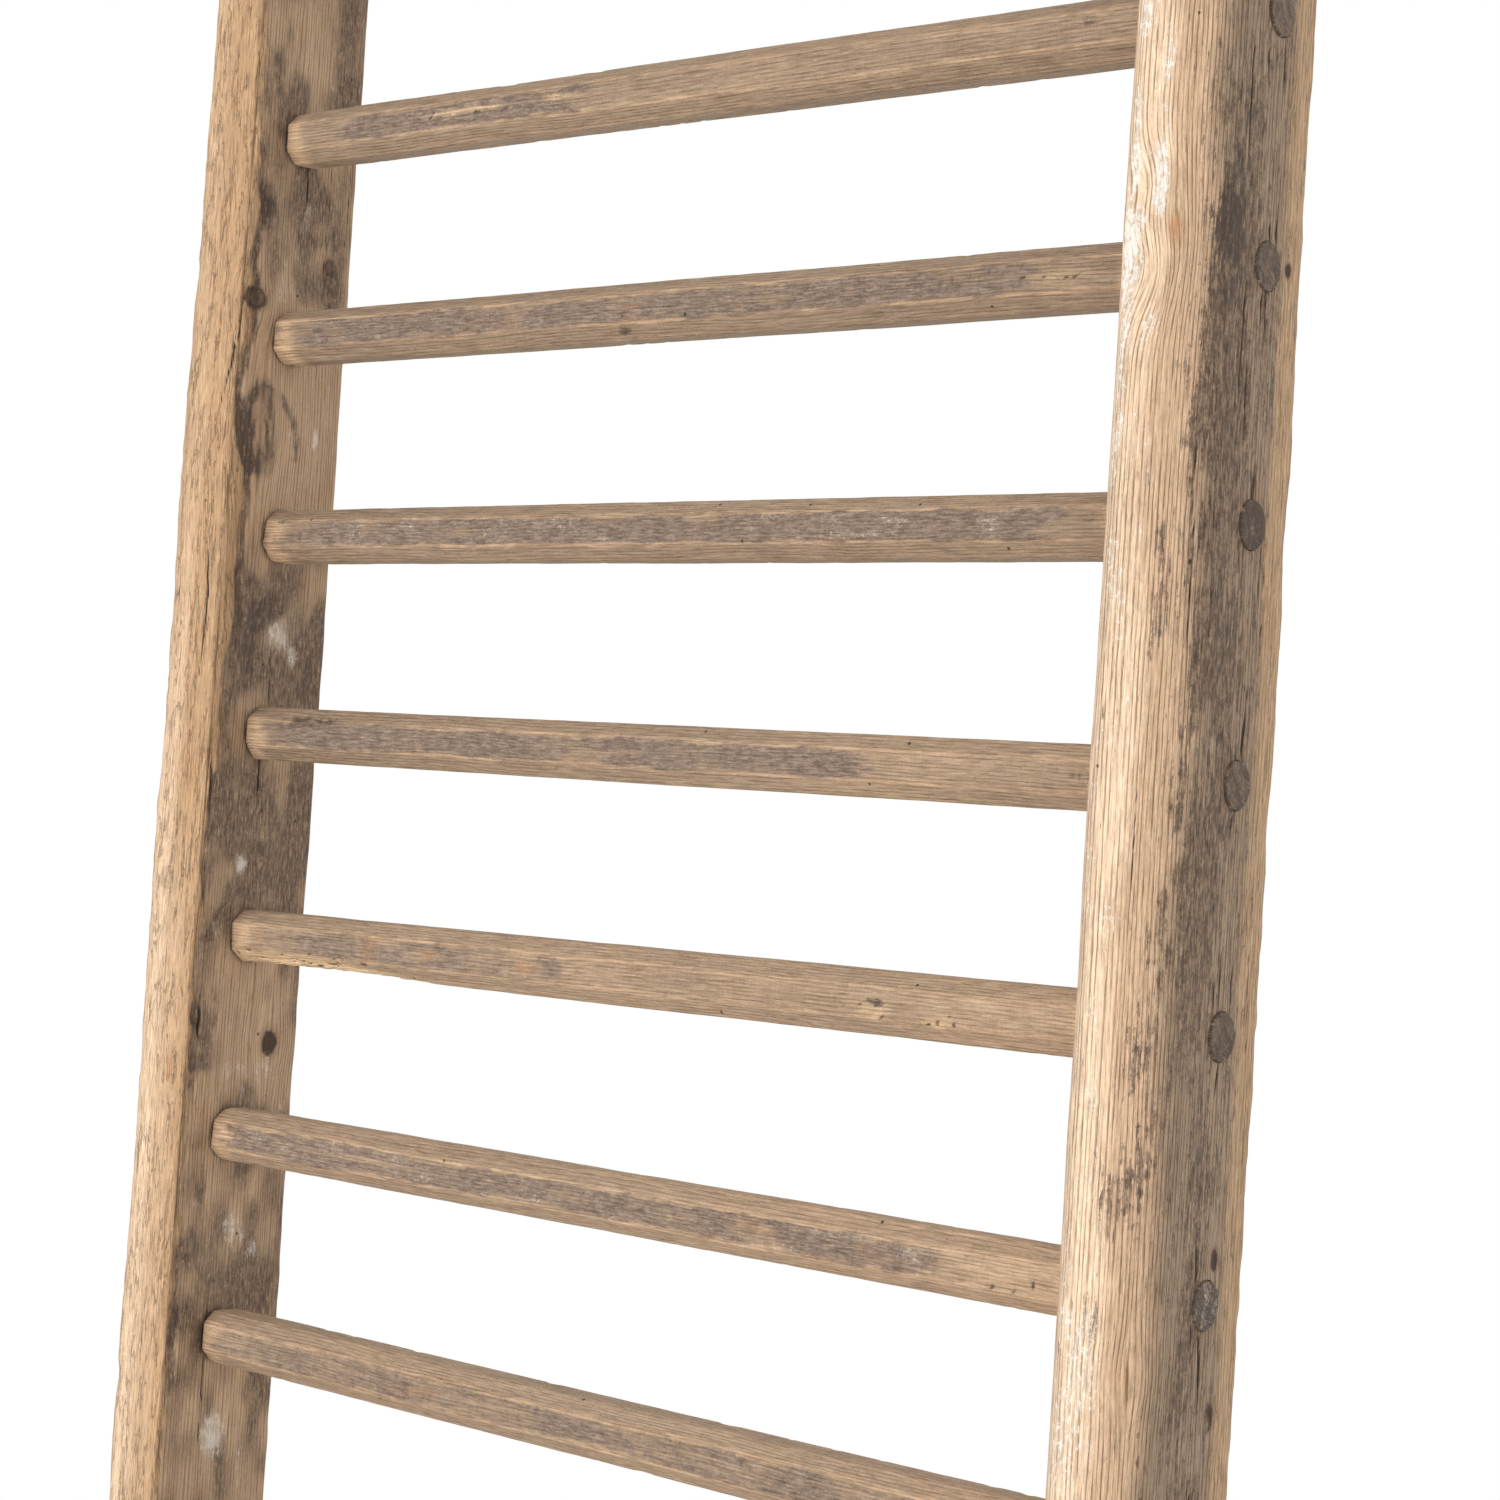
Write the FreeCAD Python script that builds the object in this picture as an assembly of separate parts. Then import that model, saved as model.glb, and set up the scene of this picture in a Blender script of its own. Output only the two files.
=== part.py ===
import FreeCAD, Part
import math
import os

# Hay rack: two squared poles and a ladder of shaved rungs, whose round tenons pass right through the poles.
# Millimetres, +Z up. The origin is on the floor, midway between the two feet. X runs across the rack, along
# the rungs, and the front is towards -Y. The backs of both rails lie in one plane.

OVERALL_WIDTH = 890.0  # over the rails' outer faces, where the rails are stoutest
RACK_HEIGHT = 2400.0
RAIL_THICKNESS = 66.0  # along X, at the stoutest
RAIL_DEPTH = 111.0  # along Y, at the deepest
INNER_FACE = OVERALL_WIDTH / 2 - RAIL_THICKNESS
BACK_PLANE = RAIL_DEPTH / 2

THINNING = 2.0  # how much thinner than the stoutest section a rail gets
SWELLS = 1.4  # swells along a rail
SWELL_PHASE = {"left_rail": 0.6, "right_rail": 2.4}
CORNER_RADII = {
    "left_rail": {"inner_front": 5.0, "outer_front": 16.0, "outer_back": 9.0, "inner_back": 5.0},
    "right_rail": {"inner_front": 12.0, "outer_front": 30.0, "outer_back": 9.0, "inner_back": 5.0},
}
RAIL_STATIONS = 13  # sections that a rail is lofted through
BACK_SAWN_OFF = 1.0  # sawn from the back of both rails, to lay them in one plane

RUNG_PITCH = 150.0
LOWEST_RUNG = 150.0
RUNG_HEIGHT = 42.0  # along Z, across the flats
RUNG_DEPTH = 40.0  # along Y, across the flats
RUNG_CHAMFER = 10.5  # leg of each of the four long bevels
SHOULDER_LENGTH = 27.0  # the stretch that is shaved from octagon to round
TENON_RADIUS_AT_SHOULDER = 16.5
TENON_RADIUS_AT_END = 15.0
TENON_PROUD = 0.8  # how far a tenon stands out of the rail's outer face
SETBACK = {"left_rail": 59.0, "right_rail": 46.0}  # from the back plane to a bore's centre, at the inner face

# How far each rung strays from even spacing, lowest rung first: left end up, right end up, left end back.
RUNG_DRIFT = [
    (0.0, 2.0, 0.0),
    (-2.0, 1.0, 2.0),
    (2.5, 0.0, -1.0),
    (1.0, -2.0, 0.0),
    (1.0, -4.0, 0.0),
    (2.0, -1.5, -5.0),
    (-0.5, 2.5, 0.0),
    (2.0, -1.5, 0.5),
    (0.5, -0.5, 4.0),
    (0.0, 0.5, 0.5),
    (0.0, 0.0, -0.5),
    (1.5, -1.5, 0.0),
    (-2.0, 1.0, 3.0),
    (0.5, 3.0, -2.0),
    (-1.0, 0.0, 0.0),
]


def share_thinned(rail, z):
    """0 where the rail is stoutest at height z, 1 where it is thinnest."""
    turn = 2 * math.pi * SWELLS * z / RACK_HEIGHT
    return 0.5 - 0.5 * math.cos(turn + SWELL_PHASE[rail])


def outer_face(rail, z):
    """Distance from the rack's middle plane to the rail's outer face."""
    return OVERALL_WIDTH / 2 - THINNING * share_thinned(rail, z)


def front_face(rail, z):
    """Y of the rail's front face."""
    return -RAIL_DEPTH / 2 + THINNING * share_thinned(rail, RACK_HEIGHT - z)


def corner(centre_x, centre_y, radius, start_deg, z):
    """A quarter turn of the section's outline, anticlockwise from start_deg."""
    points = []
    for degrees in (start_deg, start_deg + 45, start_deg + 90):
        angle = math.radians(degrees)
        x = centre_x + radius * math.cos(angle)
        y = centre_y + radius * math.sin(angle)
        points.append(FreeCAD.Vector(x, y, z))
    return Part.Arc(*points).toShape()


def rail_section(rail, z):
    """The outline at height z of a rail on the +X side: straight sides between round corners."""
    radii = CORNER_RADII[rail]
    x0 = INNER_FACE
    x1 = outer_face(rail, z)
    y0 = front_face(rail, z)
    y1 = BACK_PLANE + BACK_SAWN_OFF
    outer_front = radii["outer_front"]
    outer_back = radii["outer_back"]
    inner_back = radii["inner_back"]
    inner_front = radii["inner_front"]
    arcs = [
        corner(x1 - outer_front, y0 + outer_front, outer_front, 270, z),
        corner(x1 - outer_back, y1 - outer_back, outer_back, 0, z),
        corner(x0 + inner_back, y1 - inner_back, inner_back, 90, z),
        corner(x0 + inner_front, y0 + inner_front, inner_front, 180, z),
    ]
    edges = []
    for arc, following in zip(arcs, arcs[1:] + arcs[:1]):
        edges.append(arc)
        edges.append(Part.makeLine(arc.Vertexes[-1].Point, following.Vertexes[0].Point))
    return Part.Wire(edges)


def make_rail(rail, rungs):
    """A rail lofted through its sections, sawn flat at the back, and bored for every tenon."""
    heights = [RACK_HEIGHT * i / (RAIL_STATIONS - 1) for i in range(RAIL_STATIONS)]
    pole = Part.makeLoft([rail_section(rail, z) for z in heights], True)
    sawn_corner = FreeCAD.Vector(0, BACK_PLANE - 2 * RAIL_DEPTH, 0)
    pole = pole.common(Part.makeBox(OVERALL_WIDTH, 2 * RAIL_DEPTH, RACK_HEIGHT, sawn_corner))
    if rail == "left_rail":
        pole = pole.mirror(FreeCAD.Vector(0, 0, 0), FreeCAD.Vector(1, 0, 0))
    return pole.cut(rungs).Solids[0]


def octagon(x):
    """A rung's outline at x, square to its length: a rectangle with its four corners bevelled."""
    y = RUNG_DEPTH / 2
    z = RUNG_HEIGHT / 2
    c = RUNG_CHAMFER
    quarter = [(y, z - c), (y - c, z)]
    upper = quarter + [(-b, a) for b, a in reversed(quarter)]
    outline = upper + [(-b, -a) for b, a in upper]
    points = [FreeCAD.Vector(x, b, a) for b, a in outline]
    return Part.makePolygon(points + points[:1])


def shoulder(side):
    """The curve from a tenon's radius at the rail to clear of the octagon; side is -1 or 1 for left or right."""
    clear_radius = math.hypot(RUNG_HEIGHT, RUNG_DEPTH) / 2
    bulge_x = side * (INNER_FACE - SHOULDER_LENGTH / 3)
    bulge_radius = (TENON_RADIUS_AT_SHOULDER + clear_radius) / 2
    at_rail = FreeCAD.Vector(side * INNER_FACE, 0, TENON_RADIUS_AT_SHOULDER)
    clear = FreeCAD.Vector(side * (INNER_FACE - SHOULDER_LENGTH), 0, clear_radius)
    return Part.Arc(at_rail, FreeCAD.Vector(bulge_x, 0, bulge_radius), clear).toShape()


def spindle(left_end, right_end):
    """The round form that a rung's bar is shaved to, about X: tenon, shoulder, bar, shoulder, tenon."""
    left_shoulder = shoulder(-1)
    right_shoulder = shoulder(1)
    left_axis = FreeCAD.Vector(left_end, 0, 0)
    left_rim = FreeCAD.Vector(left_end, 0, TENON_RADIUS_AT_END)
    right_rim = FreeCAD.Vector(right_end, 0, TENON_RADIUS_AT_END)
    right_axis = FreeCAD.Vector(right_end, 0, 0)
    edges = [
        Part.makeLine(left_axis, left_rim),
        Part.makeLine(left_rim, left_shoulder.Vertexes[0].Point),
        left_shoulder,
        Part.makeLine(left_shoulder.Vertexes[-1].Point, right_shoulder.Vertexes[-1].Point),
        right_shoulder,
        Part.makeLine(right_shoulder.Vertexes[0].Point, right_rim),
        Part.makeLine(right_rim, right_axis),
        Part.makeLine(right_axis, left_axis),
    ]
    return Part.Face(Part.Wire(edges)).revolve(FreeCAD.Vector(0, 0, 0), FreeCAD.Vector(1, 0, 0), 360)


def make_rung(number):
    """An octagonal bar, shaved round at both shoulders and on into two tapered tenons."""
    left_up, right_up, left_back = RUNG_DRIFT[number]
    even_height = LOWEST_RUNG + RUNG_PITCH * number
    left_z = even_height + left_up
    right_z = even_height + right_up
    left_y = BACK_PLANE - SETBACK["left_rail"] + left_back
    right_y = BACK_PLANE - SETBACK["right_rail"]
    left_end = -outer_face("left_rail", left_z) - TENON_PROUD
    right_end = outer_face("right_rail", right_z) + TENON_PROUD
    bar = Part.Face(octagon(left_end)).extrude(FreeCAD.Vector(right_end - left_end, 0, 0))
    rung = bar.common(spindle(left_end, right_end)).Solids[0]
    run = FreeCAD.Vector(2 * INNER_FACE, right_y - left_y, right_z - left_z)
    middle = FreeCAD.Vector(0, (left_y + right_y) / 2, (left_z + right_z) / 2)
    rung.Placement = FreeCAD.Placement(middle, FreeCAD.Rotation(FreeCAD.Vector(1, 0, 0), run))
    return rung


def main():
    os.makedirs("parts", exist_ok=True)
    rungs = [make_rung(number) for number in range(len(RUNG_DRIFT))]
    for number, rung in enumerate(rungs, start=1):
        rung.exportStep(f"parts/rung_{number:02d}.step")
    for rail in CORNER_RADII:
        make_rail(rail, rungs).exportStep(f"parts/{rail}.step")


main()
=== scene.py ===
import functools
import itertools
import math

import bmesh
import bpy
import numpy as np
from mathutils import Matrix, Vector
from mathutils.bvhtree import BVHTree


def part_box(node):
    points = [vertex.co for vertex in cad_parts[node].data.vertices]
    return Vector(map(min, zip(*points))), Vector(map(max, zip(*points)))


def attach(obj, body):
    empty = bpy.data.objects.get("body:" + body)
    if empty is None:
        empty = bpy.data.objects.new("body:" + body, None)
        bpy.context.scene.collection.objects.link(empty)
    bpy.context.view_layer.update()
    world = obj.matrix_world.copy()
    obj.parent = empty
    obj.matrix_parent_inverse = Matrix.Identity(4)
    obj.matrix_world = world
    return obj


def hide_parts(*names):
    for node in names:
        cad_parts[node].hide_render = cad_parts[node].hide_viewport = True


# Hay rack: two weathered softwood poles and a ladder of hewn oak rungs. Each piece is a mesh built in code
# round its CAD solid and stands for it. Lengths are in millimetres until they reach a mesh or the stage,
# which are in metres. A place on a pole is (girth, height). Girth runs round the section from the inner front
# arris: across the front to the outer face, and the other way, negative, along the inner face.

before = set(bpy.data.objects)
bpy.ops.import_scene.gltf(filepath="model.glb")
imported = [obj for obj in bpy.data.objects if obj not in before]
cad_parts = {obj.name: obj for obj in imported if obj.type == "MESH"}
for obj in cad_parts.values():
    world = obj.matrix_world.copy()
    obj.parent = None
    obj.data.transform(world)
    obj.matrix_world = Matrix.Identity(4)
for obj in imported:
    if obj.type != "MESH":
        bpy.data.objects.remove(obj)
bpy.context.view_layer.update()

MM = 0.001
LATTICE_SIZE = 64
LATTICE = np.random.default_rng(7).random((LATTICE_SIZE,) * 3) * 2 - 1


# ---- numbers that vary smoothly


def noise(x, y, seed=0.0):
    """Smooth values from -1 to 1 that turn about once a unit; each seed gives a pattern of its own."""
    cells = []
    shares = []
    for value in np.broadcast_arrays(x, y, seed * 7.31 + 0.5):
        low = np.floor(value)
        share = value - low
        cells.append(low.astype(int))
        shares.append(share * share * (3 - 2 * share))
    total = 0.0
    for corner in itertools.product((0, 1), repeat=3):
        weight = 1.0
        place = []
        for cell, share, step in zip(cells, shares, corner):
            weight = weight * (share if step else 1 - share)
            place.append((cell + step) % LATTICE_SIZE)
        total = total + weight * LATTICE[tuple(place)]
    return total


def surface_noise(across, along, first_seed=0):
    """A noise over a surface as a function of its patches' size across and along the grain, and of a seed."""
    return lambda wide, long, seed: noise(across / wide, along / long, first_seed + seed)


def rise(value, start, end):
    """0 before start, 1 after end, and a smooth step between them."""
    share = np.clip((value - start) / (end - start), 0, 1)
    return share * share * (3 - 2 * share)


def band(value, low, high, soft):
    """1 between low and high, fading to 0 over soft at each side."""
    return rise(value, low - soft, low + soft) * (1 - rise(value, high - soft, high + soft))


def spot(across, along, radius_across, radius_along):
    """1 at the middle of an oval, falling smoothly to 0 at its edge."""
    return 1 - rise(np.hypot(across / radius_across, along / radius_along), 0.0, 1.0)


def arc(across, along, radius_across, radius_along, width):
    """1 on an oval ring, falling to 0 at width to either side of it."""
    near = np.hypot(across / radius_across, along / radius_along)
    return 1 - rise(np.abs(near - 1) * radius_across, 0, width)


def linear(red, green, blue):
    """A colour given in 0 to 255, as the shader wants it."""
    return np.array([(c / 255) ** 2.2 for c in (red, green, blue)])


# ---- meshes


FIELDS = ("grain", "knot", "base", "marks", "opened", "rough")
FIELD_KINDS = {(): ("FLOAT", "value"), (3,): ("FLOAT_VECTOR", "vector"), (4,): ("FLOAT_COLOR", "color")}
SAME_PLACE = 1e-6  # metres
SHARP_ANGLE = math.radians(48)
CAP_SHARES = (1.0, 0.94, 0.82, 0.65, 0.45, 0.25)  # the size of each ring that closes an end, in rims


def make_piece(node, points, faces, on_grid, on_caps, material):
    """A mesh object that stands for a CAD node and rides on the root. Its FIELDS have values on the grid that
    its points start with, and on the caps that they end with. Every face takes them from its own points, and
    then points that share a place become one, so a field may jump where the mesh is whole."""
    corners = np.concatenate([group.ravel() for group in faces])
    used = np.unique(corners)
    lists = [face for group in faces for face in np.searchsorted(used, group).tolist()]
    name = f"{node}_wood"
    mesh = bpy.data.meshes.new(name)
    mesh.from_pydata((points[used] * MM).tolist(), [], lists)
    for field, values, cap_values in zip(FIELDS, on_grid, on_caps):
        shape = values.shape[2:]
        values = values.reshape(-1, *shape)
        cap_values = np.broadcast_to(cap_values, (len(points) - len(values), *shape))
        kind, slot_name = FIELD_KINDS[shape]
        attribute = mesh.attributes.new(field, kind, "CORNER")
        attribute.data.foreach_set(slot_name, np.concatenate([values, cap_values])[corners].ravel())
    form = bmesh.new()
    form.from_mesh(mesh)
    bmesh.ops.remove_doubles(form, verts=form.verts, dist=SAME_PLACE)
    bmesh.ops.recalc_face_normals(form, faces=form.faces)
    form.to_mesh(mesh)
    form.free()
    mesh.shade_smooth()
    mesh.set_sharp_from_angle(angle=SHARP_ANGLE)
    mesh.materials.append(material)
    piece = bpy.data.objects.new(name, mesh)
    bpy.context.scene.collection.objects.link(piece)
    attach(piece, "root")
    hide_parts(node)


def grid_faces(rows, columns):
    """Quads between the vertices of a grid that is stored row by row."""
    index = np.arange(rows * columns).reshape(rows, columns)
    quads = [index[:-1, :-1], index[:-1, 1:], index[1:, 1:], index[1:, :-1]]
    return np.stack(quads, axis=-1).reshape(-1, 4)


def close_ends(points, stride, sunk):
    """Points and faces that close both ends of a tube, whose own points are a grid with rows of stride. Each
    end gets copies of its rim drawn in ring by ring, then a fan round a middle that lies inwards by sunk."""
    caps = []
    faces = []
    first = len(points)
    for rim, inwards in ((points[:stride - 1], sunk), (points[-stride:-1], -sunk)):
        columns = len(rim)
        middle = rim.mean(axis=0)
        caps += [middle + (rim - middle) * share + inwards * (1 - share) for share in CAP_SHARES]
        caps.append((middle + inwards)[None])
        index = first + np.arange(len(CAP_SHARES) * columns).reshape(-1, columns)
        following = np.roll(index, -1, axis=1)
        first += index.size + 1
        faces.append(np.stack([index[:-1], following[:-1], following[1:], index[1:]], axis=-1).reshape(-1, 4))
        faces.append(np.stack([index[-1], following[-1], np.full(columns, first - 1)], axis=-1))
    return np.concatenate(caps), faces


# ---- where the frame puts things


AT_END = 1.5  # a rung's CAD points this near its end are its end face's


def rung_axis(node):
    """The middles of a rung's two end faces, left and right."""
    points = np.array([v.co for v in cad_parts[node].data.vertices]) / MM
    ends = []
    for side in (-1, 1):
        reach = (points[:, 0] * side).max()
        ends.append(points[points[:, 0] * side > reach - AT_END].mean(axis=0))
    return ends


RAILS = {"left_rail": -1, "right_rail": 1}
RUNGS = sorted(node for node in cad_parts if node.startswith("rung_"))
AXES = {node: rung_axis(node) for node in RUNGS}

RAIL_RADII = {  # inner back, inner front, outer front, outer back
    "left_rail": (5.0, 5.0, 16.0, 9.0),
    "right_rail": (5.0, 12.0, 30.0, 3.0),
}
RAIL_COLUMNS = 256
RAIL_ROWS = 376
CORNER_POINTS = 13
MEASURES = 61  # heights at which a rail's section is measured
CLEAR_OF_END = 2
CLEAR_OF_BORES = 18  # from the back plane to where the outer face is measured
BORE_RADII = {"inner": 16.5, "outer": 15.0}
BORE_COLUMNS = 10  # grid steps from a bore's middle to its rim
BORE_ROWS = 3
BORE_REACH = 1.8  # how far out the grid bends round a bore, in rims


class Rail:
    """A pole's plain form, read off its CAD solid: where a girth and height lie, and which way they face."""

    def __init__(self, node):
        self.node = node
        self.side = RAILS[node]
        low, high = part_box(node)
        self.height = high.z / MM
        self.back = high.y / MM
        self.depth = self.back - low.y / MM
        self.inner, outer = sorted((abs(low.x) / MM, abs(high.x) / MM))
        self.width = outer - self.inner
        self.measure()
        self.draw_outline()

    def measure(self):
        """How wide and deep the pole is at heights all the way up, clear of its bores."""
        solid = BVHTree.FromObject(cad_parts[self.node], bpy.context.evaluated_depsgraph_get())
        middle = self.side * (self.inner + self.width / 2) * MM
        far = 2 * self.side * (self.inner + self.width) * MM
        near_back = (self.back - CLEAR_OF_BORES) * MM
        self.heights = np.linspace(CLEAR_OF_END, self.height - CLEAR_OF_END, MEASURES)
        self.widths = []
        self.depths = []
        for height in self.heights * MM:
            outer = solid.ray_cast(Vector((far, near_back, height)), Vector((-self.side, 0, 0)))[0]
            front = solid.ray_cast(Vector((middle, -1, height)), Vector((0, 1, 0)))[0]
            self.widths.append(abs(outer.x) / MM - self.inner)
            self.depths.append(self.back - front.y / MM)

    def draw_outline(self):
        """The section as points (girth, x, y, way it faces), anticlockwise from the back's inner edge."""
        w, d = self.width, self.depth
        corners = [(-d, 0, d, 90), (0, 0, 0, 180), (w, w, 0, 270), (w + d, w, d, 360)]
        rows = []
        for (girth, x, y, start), radius in zip(corners, RAIL_RADII[self.node]):
            middle_x = radius if x == 0 else w - radius
            middle_y = radius if y == 0 else d - radius
            for share in np.linspace(0, 1, CORNER_POINTS):
                turn = math.radians(start + 90 * share)
                round_x = middle_x + radius * math.cos(turn)
                round_y = middle_y + radius * math.sin(turn)
                rows.append((girth + radius * (2 * share - 1), round_x, round_y, turn))
        seam = RAIL_RADII[self.node][0]
        rows.append((w + d + w - seam, seam, d, math.radians(450)))
        self.outline = np.array(rows).T

    def girths(self):
        """Girths evenly spaced round the section; the last is the first again, once round."""
        girth, x, y, _ = self.outline
        run = np.concatenate([[0], np.cumsum(np.hypot(np.diff(x), np.diff(y)))])
        return np.interp(np.linspace(0, run[-1], RAIL_COLUMNS + 1), run, girth)

    def place(self, girth, height, depth):
        """Points sunk by depth under the pole's plain surface."""
        table, x, y, turn = self.outline
        turn = np.interp(girth, table, turn)
        wide = np.interp(height, self.heights, self.widths) / self.width
        deep = np.interp(height, self.heights, self.depths) / self.depth
        across = self.inner + np.interp(girth, table, x) * wide - np.cos(turn) * depth
        back = self.back - (self.depth - np.interp(girth, table, y)) * deep - np.sin(turn) * depth
        return np.stack([self.side * across, back, height], axis=-1)

    def bores(self, face):
        """Girth, height and radius of every bore where it meets the inner or the outer face."""
        found = []
        for left, right in AXES.values():
            end = right if self.side > 0 else left
            run = (right - left) / (right[0] - left[0])
            from_end = self.inner - abs(end[0]) if face == "inner" else 0.0
            centre = end + run * self.side * from_end
            turn = centre[1] - (self.back - self.depth)
            girth = -turn if face == "inner" else self.width + turn
            found.append((girth, centre[2], BORE_RADII[face]))
        return found


def rim_steps():
    """Grid steps from a bore's middle to each vertex of its rim, in order round it."""
    c, r = BORE_COLUMNS, BORE_ROWS
    half = [(c, j) for j in range(-r, r)] + [(i, r) for i in range(c, -c, -1)]
    return half + [(-i, -j) for i, j in half]


def bend_round_bore(girth, height, bore):
    """Moves the grid's vertices near a bore so that a block of cells fills its circle. Returns the middle."""
    bore_girth, bore_height, radius = bore
    column = int(np.abs(girth[0] - bore_girth).argmin())
    row = int(np.abs(height[:, 0] - bore_height).argmin())
    reach_c = math.ceil(BORE_COLUMNS * BORE_REACH)
    reach_r = math.ceil(BORE_ROWS * BORE_REACH)
    window = np.s_[row - reach_r:row + reach_r + 1, column - reach_c:column + reach_c + 1]
    j, i = np.mgrid[-reach_r:reach_r + 1, -reach_c:reach_c + 1].astype(float)
    size = np.maximum(np.abs(i) / BORE_COLUMNS, np.abs(j) / BORE_ROWS).clip(1e-6)
    a = i / BORE_COLUMNS / size
    b = j / BORE_ROWS / size
    wide = np.abs(a) >= np.abs(b)
    turn = np.where(wide, math.pi / 4 * b / np.where(wide, a, 1) + math.pi * (a < 0), 0)
    turn = np.where(wide, turn, math.pi / 2 * np.sign(b) - math.pi / 4 * a / np.where(wide, 1, b))
    share = rise(size, 1.0, BORE_REACH)
    ring = radius * (1 + 0.8 * (size - 1))
    girth[window] += (1 - share) * (bore_girth + ring * np.cos(turn) - girth[window])
    height[window] += (1 - share) * (bore_height + ring * np.sin(turn) - height[window])
    return row, column


# ---- the rails' wood


SCATTERED_KNOTS = 16
KNOTS_FROM_END = 60


def scattered_knots(rail, seed, clear_low, clear_high):
    """Knots away from the heights where they are placed one by one."""
    rng = np.random.default_rng(seed)
    knots = []
    for _ in range(SCATTERED_KNOTS):
        height = rng.uniform(KNOTS_FROM_END, rail.height - KNOTS_FROM_END)
        girth = rng.uniform(-rail.depth, rail.width + rail.depth)
        radius = rng.uniform(5, 12)
        length = radius * rng.uniform(1.0, 1.7)
        if not clear_low < height < clear_high:
            knots.append((girth, height, radius, length, rng.uniform(0.4, 1.0)))
    return knots


# Branches' stubs in a pole's faces: girth, height, radius across the grain, length along it, and how dark.
LEFT_KNOTS = [
    (-28, 1429, 15, 31, 0.4), (-88, 1557, 8, 12, 0.95), (-81, 969, 8, 10, 1.0), (-15, 1526, 11, 9, 0.92),
    (-60, 1114, 5, 7, 0.5), (40, 1090, 6, 9, 0.3),
]
RIGHT_KNOTS = [
    (43, 1511, 6, 13, 0.12), (92, 1496, 7, 10, 0.3), (60, 860, 7, 10, 0.0), (141, 924, 4, 7, 1.0),
    (146, 832, 5, 8, 1.0), (158, 1503, 4, 5, 1.0), (-60, 1290, 9, 12, 0.8), (-40, 1020, 8, 11, 0.7),
]
SWEEPS = {  # where a branch's root pulls a pole's grain aside: girth, height, half width, half length, shift
    "left_rail": (),
    "right_rail": ((24, 1492, 26, 30, -15), (20, 1540, 22, 22, -9)),
}


def bend_grain(girth, height, knots, sweeps):
    """The girth that the grain passing each point has away from knots; lines of it part round every knot."""
    grain = girth + 3.0 * noise(girth / 60, height / 420, 3) + 1.0 * noise(girth / 20, height / 160, 4)
    for at, up, half_width, half_length, shift in sweeps:
        grain += shift * np.exp(-(((girth - at) / half_width) ** 2) - ((height - up) / half_length) ** 2)
    for at, up, radius, length, _ in knots:
        across = girth - at
        swell = radius * np.exp(-((height - up) / (2.2 * length)) ** 2)
        fading = np.exp(-np.maximum(np.abs(across) - swell, 0) / (1.6 * radius))
        grain -= 1.3 * swell * across / (np.abs(across) + 1.6 * swell) * fading
    return grain


def nearest_knot(girth, height, knots):
    """How far its nearest knot lies from each point, in radii across and along, and how dark that knot is."""
    at, up, radius, length, darkness = np.array(knots).T
    across = (girth[..., None] - at) / radius
    along = (height[..., None] - up) / length
    near = np.hypot(across, along)
    darkness = darkness * (1 - rise(near, 1.5, 2.0))
    nearest = near.argmin(axis=-1)[..., None]
    return np.concatenate([np.take_along_axis(part, nearest, -1) for part in (across, along, darkness)], -1)


def groove(girth, height, path, half_width):
    """1 along the middle of a split, 0 at its sides; path lists its (girth, height) points upwards."""
    low, high = path[0][1], path[-1][1]
    middle = np.interp(height, [h for _, h in path], [g for g, _ in path])
    middle = middle + 0.9 * noise(height / 9, 0, path[0][0]) + 0.4 * noise(height / 3, 0, path[0][0] + 1)
    taper = np.clip(np.minimum(height - low, high - height) / (0.3 * (high - low)), 0, 1)
    reach = half_width * np.sqrt(taper) + 1e-6
    return np.clip(1 - np.abs(girth - middle) / reach, 0, 1) * (taper > 0)


def tenon_splits(rail, seed):
    """Short splits that run up and down the grain from each bore in the outer face."""
    rng = np.random.default_rng(seed)
    splits = []
    for girth, height, radius in rail.bores("outer"):
        for way in (-1, 1):
            for _ in range(rng.integers(1, 4)):
                offset = rng.uniform(-0.85, 0.85) * radius
                start = height + way * math.sqrt(radius**2 - offset**2) * 0.9
                end = start + way * rng.uniform(12, 42)
                low, high = sorted((start, end))
                splits.append((1.5, (girth + offset, low), (girth + offset * 1.15, high)))
    return splits


DRYING_SPLITS = 26


def drying_splits(rail, seed):
    """Long fine splits scattered over a pole."""
    rng = np.random.default_rng(seed)
    splits = []
    for _ in range(DRYING_SPLITS):
        girth = rng.uniform(-rail.depth - 20, rail.width + rail.depth + 20)
        low = rng.uniform(20, rail.height - 220)
        high = low + rng.uniform(40, 210)
        lean = rng.uniform(-3, 3)
        splits.append((rng.uniform(0.8, 1.2), (girth, low), (girth + lean, high)))
    return splits


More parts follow.
